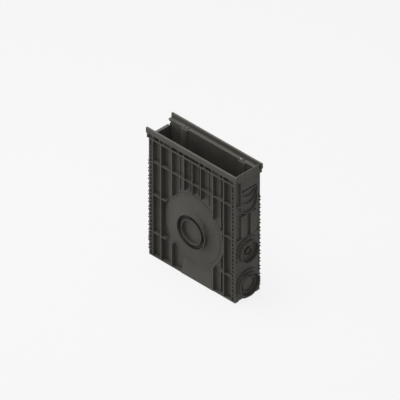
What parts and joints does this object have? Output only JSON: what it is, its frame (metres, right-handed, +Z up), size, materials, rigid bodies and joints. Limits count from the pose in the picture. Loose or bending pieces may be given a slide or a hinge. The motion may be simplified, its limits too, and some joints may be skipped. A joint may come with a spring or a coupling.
{
  "type": "sand trap",
  "caption": "Tall narrow plastic sand trap for a linear drain, with a silt basket on a bail and knock-outs for channels and pipes.",
  "frame": {"origin": "middle of the underside, on the ground", "axes": "+X along the drain line, towards the right end panel; +Y from the front side to the rear side; +Z up"},
  "size_m": [0.516, 0.154, 0.61],
  "materials": {
    "side_plastic": "satin moulded",
    "end_plastic": "satin moulded",
    "base_plastic": "satin moulded",
    "basket_plastic": "satin moulded",
    "bail_steel": "zinc plated"
  },
  "bodies": {
    "trap": {"side_panel_front": "side_plastic", "side_panel_rear": "side_plastic", "end_panel_left": "end_plastic", "end_panel_right": "end_plastic", "base_plate": "base_plastic", "silt_basket": "basket_plastic"},
    "bail": {"basket_handle": "bail_steel"}
  },
  "joints": [
    {"name": "bail_hinge", "type": "hinge", "parent": "trap", "child": "bail", "pos_m": [0, 0, 0.1565], "axis": [0, 1, 0], "range_deg": [0, 180]}
  ]
}
